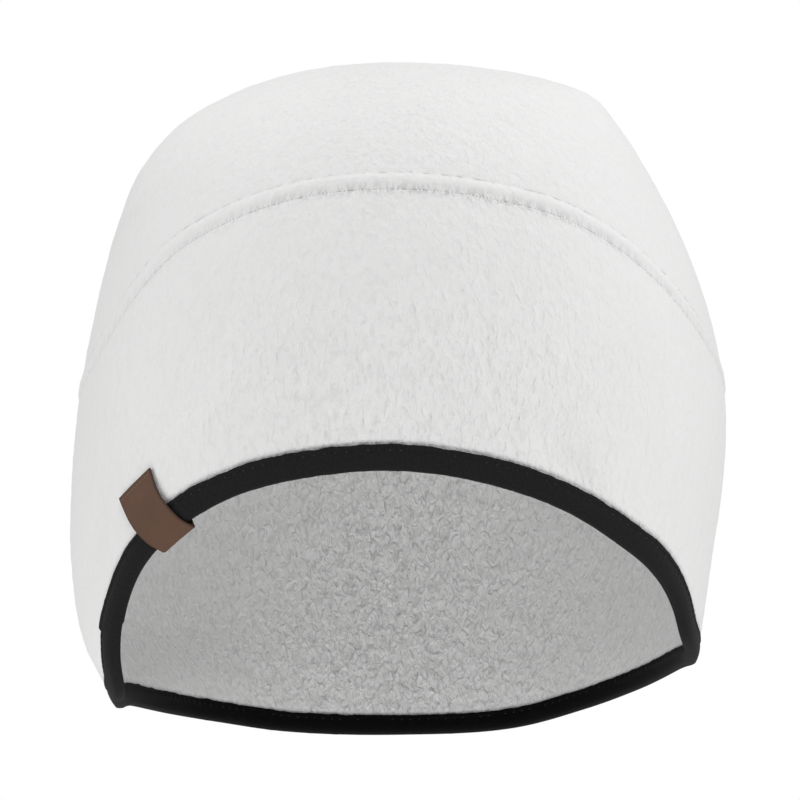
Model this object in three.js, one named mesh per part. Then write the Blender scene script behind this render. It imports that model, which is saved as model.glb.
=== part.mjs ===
// A white fleece hat in the form it takes on a head: a domed crown, a deep band that rises over the brow and
// covers the ears and the nape, a black knitted tape bound over the hem, and a small folded leather tab.
// Millimetres, +Z up, the brow faces -Y. The origin is the inside of the crown's top, where the head bears.
import * as THREE from "three";

// Cloth and tape
const FLEECE = 2.6; // wall of the brushed fleece
const BOUND = 1.3; // the same fleece pressed flat inside the tape
const TAPE = 0.75; // wall of the knitted tape
const TAPE_OUT = 6.7; // from the tape's fold to its edge outside
const TAPE_IN = 5.9; // and inside
const SLACK = 0.3; // room between two sewn pieces
const SEAM_GAP = 0.36; // room between the crown and the band along their seam
const ALLOWANCE = 5; // seam allowance, turned up inside the crown and topstitched
const RIDGE = 0.6; // how far the allowance lifts the fleece
const PINCH = 0.7; // how far a row of stitches sinks into the fleece

// Leather tab
const TAB = {
  turn: -37.3, // where it sits on the hem, in degrees from the brow
  width: 13.6,
  leaf: 17.4, // length of each leaf above the hem
  hang: 2.6, // how far its fold hangs below the hem
  thick: 1,
  lean: 12, // degrees that it leans away from square to the hem
  bow: 0.9, // how far the middle of each leaf bows that way too
  crease: 0.4, // how much the fold narrows towards its crease
};

// Facets
const COLUMNS = 96;
const DEGREE = Math.PI / 180;

// The outer surface from the top down: the height of each section and how far it reaches each way, with how
// square its plan is. The sides are not alike, because the crown slumps to one side.
const SECTIONS = [
  { height: 2.6, left: 0, right: 0, front: 0, back: 0, square: 0.04 },
  { height: 0.6, left: 25, right: 26, front: 28, back: 31, square: 0.05 },
  { height: -2.4, left: 36.5, right: 41.2, front: 42, back: 46, square: 0.07 },
  { height: -7.4, left: 48.9, right: 54.2, front: 56.5, back: 62.5, square: 0.08 },
  { height: -14, left: 60, right: 59.7, front: 68, back: 76, square: 0.085 },
  { height: -26, left: 70.8, right: 67.4, front: 80.5, back: 89.5, square: 0.09 },
  { height: -45.8, left: 78.8, right: 77.5, front: 92, back: 101, square: 0.095 },
  { height: -68, left: 84.2, right: 85.4, front: 98.5, back: 107, square: 0.1 },
  { height: -90, left: 88.2, right: 89.4, front: 100.8, back: 109, square: 0.1 },
  { height: -112, left: 90.2, right: 88.8, front: 100.6, back: 108.6, square: 0.1 },
  { height: -134, left: 90.4, right: 85.6, front: 99, back: 106, square: 0.1 },
  { height: -156, left: 86.9, right: 82.4, front: 96, back: 101, square: 0.1 },
  { height: -175, left: 77.6, right: 78.2, front: 92, back: 95.5, square: 0.1 },
  { height: -200, left: 72, right: 72, front: 86, back: 87.5, square: 0.1 },
];

// The fold of the tape along the hem: how far it lies below the origin on each side, by degrees from the
// brow. It arches over the brow, drops in front of the ear and runs on back to the nape.
const HEM = [
  { turn: 0, left: 107.6, right: 107.6 },
  { turn: 12.5, left: 109, right: 110.7 },
  { turn: 25, left: 113.9, right: 117.3 },
  { turn: 37.5, left: 124, right: 126.9 },
  { turn: 47, left: 136, right: 134.4 },
  { turn: 53, left: 147.2, right: 139.9 },
  { turn: 58, left: 158, right: 145.4 },
  { turn: 64, left: 166.6, right: 152.6 },
  { turn: 73, left: 171.8, right: 158.6 },
  { turn: 100, left: 177, right: 166.8 },
  { turn: 119, left: 182.2, right: 175.2 },
  { turn: 136, left: 186.6, right: 182.8 },
  { turn: 153, left: 190.6, right: 189.4 },
  { turn: 180, left: 192.5, right: 192.5 },
];

// The seam between the crown and the band, in the same way.
const SEAM = [
  { turn: 0, left: 37, right: 37 },
  { turn: 16.5, left: 38.7, right: 39.4 },
  { turn: 32, left: 45.2, right: 44.9 },
  { turn: 43.5, left: 53.2, right: 52.9 },
  { turn: 54, left: 65, right: 63.3 },
  { turn: 64, left: 77.6, right: 73.2 },
  { turn: 76.5, left: 87.2, right: 84.4 },
  { turn: 110, left: 96.4, right: 96.4 },
  { turn: 146, left: 103.5, right: 104 },
  { turn: 180, left: 106, right: 106 },
];

// Soft folds and creases: where each one's middle lies, in degrees from the brow and below the origin, its
// half length and half width, how far it stands out (or in, if negative), and how far its line turns up from
// level towards the right.
const FOLDS = [
  { turn: -66, drop: 39.5, long: 19, wide: 3.4, out: 0.9, lean: 22 },
  { turn: -70, drop: 43, long: 17, wide: 4, out: -0.6, lean: 24 },
  { turn: 56, drop: 14.4, long: 9, wide: 3, out: -0.9, lean: -14 },
  { turn: -31.5, drop: 98, long: 20, wide: 5.5, out: 0.8, lean: 54 },
  { turn: -38, drop: 90, long: 24, wide: 9, out: -0.9, lean: 56 },
  { turn: -58, drop: 122, long: 13, wide: 6, out: -0.8, lean: 60 },
  { turn: 26, drop: 106, long: 13, wide: 4, out: -1, lean: -41 },
  { turn: 31, drop: 99, long: 22, wide: 8, out: 0.7, lean: -43 },
  { turn: 49, drop: 98, long: 30, wide: 10, out: 0.8, lean: 82 },
];
const MM_PER_DEGREE = 1.6; // along the skin, near enough, for laying out the folds

const NUDGE = 0.2; // how far apart two places lie when a slope is measured
const DEEPEST = 330; // more than the profile's length from the top to the hem

// A smooth curve through values given at rising knots. At the ends it takes the slope that it is told.
function smooth(knots, values, at) {
  const last = knots.length - 1;
  let i = 0;
  while (i < last - 1 && at > knots[i + 1]) i += 1;
  const slope = (k) => {
    if (k === 0) return (values[1] - values[0]) / (knots[1] - knots[0]);
    if (k === last) return (values[k] - values[k - 1]) / (knots[k] - knots[k - 1]);
    const before = knots[k] - knots[k - 1];
    const after = knots[k + 1] - knots[k];
    const slopeBefore = (values[k] - values[k - 1]) / before;
    const slopeAfter = (values[k + 1] - values[k]) / after;
    return (slopeBefore * after + slopeAfter * before) / (before + after);
  };
  const step = knots[i + 1] - knots[i];
  const u = (at - knots[i]) / step;
  if (u < 0) return values[i] + slope(i) * (at - knots[i]);
  if (u > 1) return values[i + 1] + slope(i + 1) * (at - knots[i + 1]);
  const a = (1 + 2 * u) * (1 - u) * (1 - u) * values[i] + u * (1 - u) * (1 - u) * step * slope(i);
  const b = u * u * (3 - 2 * u) * values[i + 1] + u * u * (u - 1) * step * slope(i + 1);
  return a + b;
}

// The profile as curves of the way down from the top. One mirrored row before the top keeps it round there.
const COLUMN_NAMES = ["height", "left", "right", "front", "back", "square"];
const mirrored = Object.fromEntries(
  COLUMN_NAMES.map((name) => [name, SECTIONS[1][name] * (["height", "square"].includes(name) ? 1 : -1)]),
);
const profileRows = [mirrored, ...SECTIONS];
const reachOfRow = [];
profileRows.forEach((row, i) => {
  const wide = (r) => (r.left + r.right + r.front + r.back) / 4;
  const before = profileRows[Math.max(i - 1, 0)];
  const step = Math.hypot(wide(row) - wide(before), row.height - before.height);
  reachOfRow.push(i === 0 ? 0 : reachOfRow[i - 1] + step);
});
const topReach = reachOfRow[1];
const profile = Object.fromEntries(
  COLUMN_NAMES.map((name) => {
    const values = profileRows.map((row) => row[name]);
    return [name, (reach) => smooth(reachOfRow, values, reach + topReach)];
  }),
);

// How far down the profile a given height lies.
function reachAt(height) {
  let low = 0;
  let high = DEEPEST;
  for (let i = 0; i < 40; i += 1) {
    const middle = (low + high) / 2;
    if (profile.height(middle) > height) low = middle;
    else high = middle;
  }
  return low;
}

// A line round the hat, from a table of drops, as the reach at each turn. Left turns are negative.
function lineRound(table) {
  const around = [
    ...table.slice(1).reverse().map((row) => [-row.turn, row.left]),
    ...table.map((row) => [row.turn, row.right]),
  ];
  const lap = [-360, 0, 360].flatMap((shift) => around.slice(1).map(([turn, drop]) => [turn + shift, drop]));
  const turns = lap.map(([turn]) => turn);
  const drops = lap.map(([, drop]) => drop);
  return (turn) => reachAt(-smooth(turns, drops, turn));
}
const hemLine = lineRound(HEM);
const seamLine = lineRound(SEAM);

// How far the soft folds push the skin out at a place.
function foldAt(turn, height) {
  return FOLDS.reduce((sum, fold) => {
    const away = ((((turn - fold.turn) % 360) + 540) % 360) - 180;
    const x = away * MM_PER_DEGREE;
    const y = height + fold.drop;
    const c = Math.cos(fold.lean * DEGREE);
    const s = Math.sin(fold.lean * DEGREE);
    const along = (x * c + y * s) / fold.long;
    const across = (y * c - x * s) / fold.wide;
    return sum + fold.out * Math.exp(-along * along - across * across);
  }, 0);
}

// A point of the smooth outer skin, before its folds.
function bare(turn, reach) {
  const s = Math.sin(turn * DEGREE);
  const c = Math.cos(turn * DEGREE);
  const blend = (low, high, u) => (low + high) / 2 + ((high - low) / 2) * u * (1.5 - 0.5 * u * u);
  const side = blend(profile.left(reach), profile.right(reach), s);
  const face = blend(profile.back(reach), profile.front(reach), c);
  const square = profile.square(reach);
  return new THREE.Vector3(
    side * s * (1 + square * c * c),
    -face * c * (1 + square * s * s),
    profile.height(reach),
  );
}

// The outward normal there.
function outward(turn, reach) {
  const down = Math.max(reach, 2 * NUDGE);
  const along = bare(turn + NUDGE, down).sub(bare(turn - NUDGE, down));
  const fall = bare(turn, down + NUDGE).sub(bare(turn, down - NUDGE));
  return fall.cross(along).normalize();
}

// A point of the hat's cloth: on the outer skin, or lifted off it, or sunk into it.
function skin(turn, reach, lift = 0) {
  const p = bare(turn, reach);
  return p.addScaledVector(outward(turn, reach), foldAt(turn, p.z) + lift);
}

// The place a short way from a line round the hat, measured square to it (up is positive) and along it.
function besideLine(line, turn, up, along = 0) {
  const reach = line(turn);
  const run = bare(turn + NUDGE, line(turn + NUDGE)).sub(bare(turn - NUDGE, line(turn - NUDGE))).normalize();
  const rise = outward(turn, reach).cross(run);
  const byTurn = bare(turn + NUDGE, reach).sub(bare(turn - NUDGE, reach)).divideScalar(2 * NUDGE);
  const byReach = bare(turn, reach + NUDGE).sub(bare(turn, reach - NUDGE)).divideScalar(2 * NUDGE);
  const want = rise.multiplyScalar(up).addScaledVector(run, along);
  const a = byTurn.dot(byTurn);
  const b = byTurn.dot(byReach);
  const d = byReach.dot(byReach);
  const area = a * d - b * b;
  const p = want.dot(byTurn);
  const q = want.dot(byReach);
  return { turn: turn + (p * d - q * b) / area, reach: reach + (q * a - p * b) / area };
}

// The same place as a point of the cloth.
function skinBeside(line, turn, up, lift, along = 0) {
  const place = besideLine(line, turn, up, along);
  return skin(place.turn, place.reach, lift);
}

// Turns spaced evenly along the hem, so that its steep stretches keep their shape.
function evenTurns(count) {
  const fine = 1440;
  const at = (k) => bare((k * 360) / fine, hemLine((k * 360) / fine));
  const lengths = [0];
  for (let k = 1; k <= fine; k += 1) lengths.push(lengths[k - 1] + at(k).distanceTo(at(k - 1)));
  const turns = [];
  let k = 0;
  for (let i = 0; i < count; i += 1) {
    const want = (lengths[fine] * i) / count;
    while (lengths[k + 1] < want) k += 1;
    turns.push(((k + (want - lengths[k]) / (lengths[k + 1] - lengths[k])) * 360) / fine);
  }
  return turns;
}
const TURNS = evenTurns(COLUMNS);

// Joins rings of points into one closed body. If the first and last rings are single points they close its
// ends, and if not, the last ring joins the first.
function bodyOf(rings) {
  const starts = [0];
  for (const ring of rings) starts.push(starts[starts.length - 1] + ring.length);
  const spans = rings[0].length > 1 ? rings.length : rings.length - 1;
  const faces = [];
  for (let r = 0; r < spans; r += 1) {
    const next = (r + 1) % rings.length;
    const count = Math.max(rings[r].length, rings[next].length);
    const at = (ring, i) => starts[ring] + (rings[ring].length > 1 ? i % count : 0);
    for (let i = 0; i < count; i += 1) {
      if (rings[r].length > 1) faces.push(at(r, i), at(next, i), at(r, i + 1));
      if (rings[next].length > 1) faces.push(at(r, i + 1), at(next, i), at(next, i + 1));
    }
  }
  const numbers = rings.flat().flatMap((p) => [p.x, p.y, p.z]);
  const geometry = new THREE.BufferGeometry();
  geometry.setAttribute("position", new THREE.Float32BufferAttribute(numbers, 3));
  geometry.setIndex(faces);
  geometry.computeVertexNormals();
  return geometry;
}

// The crown: from its top down the outside to the seam, round the edge, and up the inside. Just above the
// seam the fleece stands up over its turned allowance, between the seam and the topstitching.
function crown() {
  const seamRows = [
    { up: ALLOWANCE + 2, lift: 0 },
    { up: ALLOWANCE, lift: -PINCH / 2 },
    { up: ALLOWANCE - 1.2, lift: RIDGE },
    { up: 1.3, lift: RIDGE },
    { up: SEAM_GAP / 2, lift: -PINCH },
    { up: SEAM_GAP / 2, lift: -FLEECE },
  ];
  const outside = [0.07, 0.14, 0.22, 0.3, 0.38, 0.46, 0.54, 0.63, 0.72, 0.81, 0.91];
  const inside = [1, 0.84, 0.68, 0.53, 0.4, 0.27, 0.13];
  const domeRow = (share, lift) =>
    TURNS.map((turn) => {
      const edge = besideLine(seamLine, turn, ALLOWANCE + 2);
      return skin(turn + (edge.turn - turn) * share, edge.reach * share, lift);
    });
  return bodyOf([
    [skin(0, 0)],
    ...outside.map((share) => domeRow(share, 0)),
    ...seamRows.map(({ up, lift }) => TURNS.map((turn) => skinBeside(seamLine, turn, up, lift))),
    ...inside.map((share) => domeRow(share, -FLEECE)),
    [skin(0, 0, -FLEECE)],
  ]);
}

// The band: from the seam down the outside to the hem, over the edge and up the inside. The tape presses the
// last few millimetres flat.
function band() {
  const pressed = (FLEECE - BOUND) / 2;
  const hemRows = [
    { up: TAPE_OUT + SLACK, lift: -pressed },
    { up: TAPE + SLACK, lift: -pressed },
    { up: TAPE + SLACK, lift: pressed - FLEECE },
    { up: TAPE_IN + SLACK, lift: pressed - FLEECE },
  ];
  const outside = [0.97, 0.84, 0.68, 0.5, 0.32, 0.15, 0];
  const inside = [0, 0.25, 0.5, 0.75, 1];
  const bandRow = (share, lift) =>
    TURNS.map((turn) => {
      const low = besideLine(hemLine, turn, TAPE_OUT + 1.4);
      const high = besideLine(seamLine, turn, -SEAM_GAP / 2);
      const reach = low.reach + (high.reach - low.reach) * share;
      return skin(low.turn + (high.turn - low.turn) * share, reach, lift);
    });
  return bodyOf([
    bandRow(1, -PINCH),
    ...outside.map((share) => bandRow(share, 0)),
    ...hemRows.map(({ up, lift }) => TURNS.map((turn) => skinBeside(hemLine, turn, up, lift))),
    ...inside.map((share) => bandRow(share, -FLEECE)),
  ]);
}

// How far the tape's inner faces lie from the middle of the cloth inside it, and its outer faces at their
// fullest, between the stitches and the fold.
const MIDDLE = -FLEECE / 2;
const TAPE_INNER = BOUND / 2 + SLACK;
const TAPE_OUTER = TAPE_INNER + TAPE + 0.15;

// The tape: a strip folded over the hem, thinner at its stitched edges and round at the fold.
function hemBinding() {
  const edge = TAPE_INNER + TAPE * 0.7;
  const leg = (width) => [
    { up: width, away: TAPE_INNER },
    { up: width, away: edge },
    { up: width - 0.6, away: TAPE_INNER + TAPE },
    { up: width * 0.4, away: TAPE_OUTER },
    { up: TAPE * 0.8, away: edge },
    { up: 0, away: TAPE_INNER - TAPE * 0.4 },
  ];
  const section = [
    ...leg(TAPE_OUT).map(({ up, away }) => ({ up, lift: MIDDLE + away })),
    ...leg(TAPE_IN).reverse().map(({ up, away }) => ({ up, lift: MIDDLE - away })),
    { up: TAPE, lift: MIDDLE - TAPE_INNER },
    { up: TAPE, lift: MIDDLE + TAPE_INNER },
  ];
  return bodyOf(section.map(({ up, lift }) => TURNS.map((turn) => skinBeside(hemLine, turn, up, lift))));
}

// The leather tab: one strip that comes down the outside over the tape, folds under it and goes up the
// inside. Its sections follow the hat's curve across its width.
function leatherTab() {
  const clear = TAPE_OUTER + SLACK; // from the middle of the cloth to the leather's inner face
  const flat = -MIDDLE + SLACK;
  const leaf = [
    { up: TAB.leaf, away: flat + 0.1 },
    { up: TAB.leaf * 0.8, away: flat + 0.2 },
    { up: TAB.leaf * 0.6, away: flat + 0.4 },
    { up: TAPE_OUT + 1.6, away: clear - 0.05 },
    { up: TAPE_OUT, away: clear + 0.05 },
    { up: TAPE_OUT * 0.6, away: clear + 0.1 },
    { up: TAPE_OUT * 0.3, away: clear },
  ];
  const foldTop = TAPE_OUT * 0.3;
  const foldDepth = foldTop + TAB.hang - TAB.thick;
  const foldSteps = 8;
  const fold = [];
  for (let i = 1; i < foldSteps; i += 1) {
    const angle = (Math.PI * i) / foldSteps;
    const narrow = 1 - TAB.crease * Math.sin(angle) ** 2;
    fold.push({ up: foldTop - foldDepth * Math.sin(angle), away: clear * Math.cos(angle) * narrow });
  }
  const strip = [...leaf, ...fold, ...leaf.map(({ up, away }) => ({ up, away: -away })).reverse()];
  const across = [0.5, 0.25, 0, -0.25, -0.5];
  const tabPoint = (k, share, thick) => {
    const before = strip[Math.max(k - 1, 0)];
    const after = strip[Math.min(k + 1, strip.length - 1)];
    const run = new THREE.Vector2(after.up - before.up, after.away - before.away).normalize();
    const up = strip[k].up + run.y * thick;
    const lift = MIDDLE + strip[k].away - run.x * thick;
    const bow = TAB.bow * Math.sin((Math.PI * strip[k].up) / TAB.leaf);
    const slant = strip[k].up * Math.tan(TAB.lean * DEGREE) + bow;
    return skinBeside(hemLine, TAB.turn, up, lift, share * TAB.width - slant);
  };
  const rings = strip.map((_, k) => [
    ...across.map((share) => tabPoint(k, share, 0)),
    ...[...across].reverse().map((share) => tabPoint(k, share, TAB.thick)),
  ]);
  const middle = (ring) => ring.reduce((sum, p) => sum.add(p), new THREE.Vector3()).divideScalar(ring.length);
  return bodyOf([[middle(rings[0])], ...rings, [middle(rings[rings.length - 1])]]);
}

const fleece = new THREE.MeshStandardMaterial({ color: 0xe9e9e9, roughness: 1, metalness: 0 });
const tape = new THREE.MeshStandardMaterial({ color: 0x1c1c1c, roughness: 0.85, metalness: 0 });
const leather = new THREE.MeshStandardMaterial({ color: 0x68513f, roughness: 0.6, metalness: 0 });

const hat = new THREE.Group();
hat.name = "fleece_hat";
const pieces = [
  ["crown", crown(), fleece],
  ["band", band(), fleece],
  ["hem_binding", hemBinding(), tape],
  ["leather_tab", leatherTab(), leather],
];
for (const [name, geometry, material] of pieces) {
  const mesh = new THREE.Mesh(geometry, material);
  mesh.name = name;
  hat.add(mesh);
}

export default hat;
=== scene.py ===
import math

import bpy
import numpy as np
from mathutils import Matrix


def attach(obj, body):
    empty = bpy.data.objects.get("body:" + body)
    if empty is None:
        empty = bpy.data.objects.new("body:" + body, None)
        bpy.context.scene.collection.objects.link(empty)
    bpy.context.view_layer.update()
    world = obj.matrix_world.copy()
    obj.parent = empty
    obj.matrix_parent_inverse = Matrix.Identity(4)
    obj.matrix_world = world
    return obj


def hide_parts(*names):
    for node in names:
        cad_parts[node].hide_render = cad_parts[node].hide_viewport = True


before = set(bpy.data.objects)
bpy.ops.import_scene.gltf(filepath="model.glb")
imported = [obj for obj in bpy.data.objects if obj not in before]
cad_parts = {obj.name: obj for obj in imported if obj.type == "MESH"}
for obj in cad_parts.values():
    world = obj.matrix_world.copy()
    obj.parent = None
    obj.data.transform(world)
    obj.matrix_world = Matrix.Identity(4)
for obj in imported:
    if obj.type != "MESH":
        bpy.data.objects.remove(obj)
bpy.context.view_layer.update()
scene = bpy.context.scene

# The view: the hat is seen level from the front at the middle of its height, from 0.9 m in front of its
# middle, in soft studio light on a white ground, with a pale floor below it.
VIEW_DISTANCE = 0.9
VIEW_HEIGHT = -0.09
FLOOR_HEIGHT = -1.05
FLOOR_RADIUS = 0.9
FLOOR_SIDES = 64
HAT_MIDDLE = (0, 0, -0.08)
HAT_HOLLOW = (0, 0.1, -0.1)

camera_data = bpy.data.cameras.new("camera")
camera_data.lens = 145.8
camera_data.sensor_width = 36.0
camera_data.clip_start = 0.01
camera = bpy.data.objects.new("camera", camera_data)
camera.location = (0, -VIEW_DISTANCE, VIEW_HEIGHT)
camera.rotation_euler = (math.pi / 2, 0, 0)
scene.collection.objects.link(camera)
scene.camera = camera
scene.view_settings.view_transform = "Standard"


def add_node(tree, kind, inputs=None, **options):
    """A new node with these options. Each input is set to a value or joined to another node's output."""
    node = tree.nodes.new(kind)
    for option, value in options.items():
        setattr(node, option, value)
    set_inputs(tree, node, inputs or {})
    return node


def set_inputs(tree, node, inputs):
    """Sets a node's inputs, by name or number, to values or joins them to other nodes' outputs."""
    for socket, value in inputs.items():
        if isinstance(value, bpy.types.NodeSocket):
            tree.links.new(value, node.inputs[socket])
        else:
            node.inputs[socket].default_value = value


world = bpy.data.worlds.new("studio")
world.use_nodes = True
scene.world = world
sky = world.node_tree
sky.nodes.clear()
ground_white = add_node(sky, "ShaderNodeBackground", {"Color": (1, 1, 1, 1)})
room_light = add_node(sky, "ShaderNodeBackground", {"Color": (1.0, 0.995, 0.99, 1), "Strength": 0.535})
seen_or_lit = add_node(sky, "ShaderNodeLightPath").outputs["Is Camera Ray"]
sky_light = add_node(sky, "ShaderNodeMixShader",
                     {0: seen_or_lit, 1: room_light.outputs[0], 2: ground_white.outputs[0]})
add_node(sky, "ShaderNodeOutputWorld", {"Surface": sky_light.outputs[0]})


def soft_light(name, place, aim, size, watts):
    """A square soft box at a place, turned towards a point."""
    data = bpy.data.lights.new(name, "AREA")
    data.shape = "SQUARE"
    data.size = size
    data.energy = watts
    lamp = bpy.data.objects.new(name, data)
    lamp.location = place
    away = np.array(place, float) - np.array(aim, float)
    flat = math.hypot(away[0], away[1])
    lamp.rotation_euler = (math.atan2(flat, away[2]), 0, math.atan2(away[0], -away[1]))
    lamp.visible_camera = False
    scene.collection.objects.link(lamp)


soft_light("key_light", (0.45, -1.3, 1.3), HAT_MIDDLE, 0.9, 10.0)
soft_light("top_light", (0.1, 0.2, 1.6), HAT_MIDDLE, 1.4, 7.6)
soft_light("left_light", (-1.4, -0.3, 0.0), HAT_MIDDLE, 0.9, 5.2)
soft_light("right_light", (1.4, -0.3, 0.1), HAT_MIDDLE, 0.9, 4.7)
soft_light("low_left_light", (-0.25, -0.3, -0.56), HAT_HOLLOW, 0.3, 0.6)
soft_light("low_right_light", (0.2, -0.25, -0.56), HAT_HOLLOW, 0.3, 0.53)

floor_points = [(0, 0, FLOOR_HEIGHT)]
for i in range(FLOOR_SIDES):
    angle = 2 * math.pi * i / FLOOR_SIDES
    floor_points.append((FLOOR_RADIUS * math.cos(angle), FLOOR_RADIUS * math.sin(angle), FLOOR_HEIGHT))
floor_faces = [(0, 1 + i, 1 + (i + 1) % FLOOR_SIDES) for i in range(FLOOR_SIDES)]
floor_mesh = bpy.data.meshes.new("floor")
floor_mesh.from_pydata(floor_points, [], floor_faces)
floor = bpy.data.objects.new("floor", floor_mesh)
scene.collection.objects.link(floor)


def new_material(name, shader_inputs):
    """A new material with its shader's even values set: the material, its node tree and its shader."""
    material = bpy.data.materials.new(name)
    material.use_nodes = True
    shader = material.node_tree.nodes["Principled BSDF"]
    set_inputs(material.node_tree, shader, shader_inputs)
    return material, material.node_tree, shader


floor_paint, _, _ = new_material("floor_paint", {"Base Color": (0.8, 0.8, 0.79, 1), "Roughness": 0.9})
floor_mesh.materials.append(floor_paint)

# The crown: one domed piece of white brushed fleece, sewn to the band along a curved seam. Its seam allowance
# is turned up inside it and held by a row of topstitching, so the fleece stands up in a soft strip there.
# All its sizes are in millimetres, and turns are in degrees from the brow.
MILLIMETRE = 0.001
FLEECE = 2.6
SEAM_GAP = 0.04
ALLOWANCE = 5.0
RIDGE = 0.6
# Along the seam the pile's bump and its painted pit shade and tip highlight are raised by this much.
SEAM_NAP_AND_SHADE = 0.2
TOPSTITCH_PITCH = 4.2
DOME_EDGE = 9.0
DOME_ROWS = 102
DOME_LINING_ROWS = 30
CROWN_COLUMNS = 600
CROWN_ROUND = 560.0

# The outer surface from the top down: height, how far it reaches left, right, front and back, how square.
SECTION_NAMES = ("height", "left", "right", "front", "back", "square")
SECTIONS = np.array([
    (2.6, 0, 0, 0, 0, 0.04),
    (0.6, 25, 26, 28, 31, 0.05),
    (-2.4, 36.5, 41.2, 42, 46, 0.07),
    (-7.4, 48.9, 54.2, 56.5, 62.5, 0.08),
    (-14, 60, 59.7, 68, 76, 0.085),
    (-26, 70.8, 67.4, 80.5, 89.5, 0.09),
    (-45.8, 78.8, 77.5, 92, 101, 0.095),
    (-68, 84.2, 85.4, 98.5, 107, 0.1),
    (-90, 88.2, 89.4, 100.8, 109, 0.1),
    (-112, 90.2, 88.8, 100.6, 108.6, 0.1),
    (-134, 90.4, 85.6, 99, 106, 0.1),
    (-156, 86.9, 82.4, 96, 101, 0.1),
    (-175, 77.6, 78.2, 92, 95.5, 0.1),
    (-200, 72, 72, 86, 87.5, 0.1),
])

# The hem's fold and the seam: degrees from the brow, then the drop below the top on the left and the right.
HEM = np.array([
    (0, 107.6, 107.6),
    (12.5, 109, 110.7),
    (25, 113.9, 117.3),
    (37.5, 124, 126.9),
    (47, 136, 134.4),
    (53, 147.2, 139.9),
    (58, 158, 145.4),
    (64, 166.6, 152.6),
    (73, 171.8, 158.6),
    (100, 177, 166.8),
    (119, 182.2, 175.2),
    (136, 186.6, 182.8),
    (153, 190.6, 189.4),
    (180, 192.5, 192.5),
])
SEAM = np.array([
    (0, 37, 37),
    (16.5, 38.7, 39.4),
    (32, 45.2, 44.9),
    (43.5, 53.2, 52.9),
    (54, 65, 63.3),
    (64, 77.6, 73.2),
    (76.5, 87.2, 84.4),
    (110, 96.4, 96.4),
    (146, 103.5, 104),
    (180, 106, 106),
])

# Soft folds and creases: degrees from the brow, drop, half length, half width, how far out, degrees of lean.
FOLDS = (
    (-66, 39.5, 19, 3.4, 1.2, 22),
    (-70, 43, 17, 4, -0.8, 24),
    (56, 14.4, 9, 3, -1.2, -14),
    (-31.5, 98, 20, 5.5, 1.1, 54),
    (-38, 90, 24, 9, -1.3, 56),
    (-58, 122, 13, 6, -1.0, 60),
    (26, 106, 13, 4, -1.3, -41),
    (31, 99, 22, 8, 0.9, -43),
    (49, 98, 30, 10, 1.0, 82),
)
MM_PER_DEGREE = 1.6

# How far apart two places lie when a slope is measured, a way that is longer than that from the top to the
# hem, how many times it is halved to find a height on it, and how many steps a degree of turn is cut into.
NUDGE = 0.2
DEEPEST = 330.0
HALVINGS = 32
TURN_STEPS = 4


def curve_through(knots, values, at):
    """A smooth curve through values at rising knots, straight on past the ends."""
    steps = np.diff(knots)
    slopes = np.diff(values) / steps
    tangent = np.empty(len(values))
    tangent[0] = slopes[0]
    tangent[-1] = slopes[-1]
    tangent[1:-1] = (slopes[:-1] * steps[1:] + slopes[1:] * steps[:-1]) / (steps[:-1] + steps[1:])
    at = np.asarray(at, float)
    i = np.clip(np.searchsorted(knots, at) - 1, 0, len(knots) - 2)
    step = steps[i]
    u = (at - knots[i]) / step
    inside = (1 + 2 * u) * (1 - u) ** 2 * values[i] + u * (1 - u) ** 2 * step * tangent[i]
    inside = inside + u * u * (3 - 2 * u) * values[i + 1] + u * u * (u - 1) * step * tangent[i + 1]
    before = values[i] + tangent[i] * (at - knots[i])
    after = values[i + 1] + tangent[i + 1] * (at - knots[i + 1])
    return np.where(u < 0, before, np.where(u > 1, after, inside))


mirrored_row = SECTIONS[1] * np.array([1, -1, -1, -1, -1, 1])
profile_rows = np.vstack([mirrored_row, SECTIONS])
row_width = profile_rows[:, 1:5].mean(axis=1)
row_reach = np.concatenate([[0], np.cumsum(np.hypot(np.diff(row_width), np.diff(profile_rows[:, 0])))])
top_reach = row_reach[1]


def profile(name, reach):
    """One column of the sections as a smooth curve of the way down from the top."""
    return curve_through(row_reach, profile_rows[:, SECTION_NAMES.index(name)], np.asarray(reach) + top_reach)


def reach_at(height):
    """How far down the profile a height lies."""
    height = np.asarray(height, float)
    low = np.zeros_like(height)
    high = np.full_like(height, DEEPEST)
    for _ in range(HALVINGS):
        middle = (low + high) / 2
        above = profile("height", middle) > height
        low = np.where(above, middle, low)
        high = np.where(above, high, middle)
    return low


def line_round(table):
    """A line round the hat, from a table of drops, as a function from the turn to the reach."""
    left = np.stack([-table[:0:-1, 0], table[:0:-1, 1]])
    right = np.stack([table[:, 0], table[:, 2]])
    lap = np.concatenate([left, right], axis=1)[:, 1:]
    turns = np.concatenate([lap[0] - 360, lap[0], lap[0] + 360])
    drops = np.tile(lap[1], 3)
    fine = np.linspace(-400, 400, 800 * TURN_STEPS + 1)
    reach = reach_at(-curve_through(turns, drops, fine))
    return lambda turn: curve_through(fine, reach, turn)


hem_line = line_round(HEM)
seam_line = line_round(SEAM)


def fold_at(turn, height):
    """How far the soft folds push the skin out."""
    total = np.zeros(np.broadcast(turn, height).shape)
    for middle, drop, long, wide, out, lean in FOLDS:
        x = ((turn - middle + 540) % 360 - 180) * MM_PER_DEGREE
        y = height + drop
        c = math.cos(math.radians(lean))
        s = math.sin(math.radians(lean))
        total = total + out * np.exp(-(((x * c + y * s) / long) ** 2) - ((y * c - x * s) / wide) ** 2)
    return total


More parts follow.
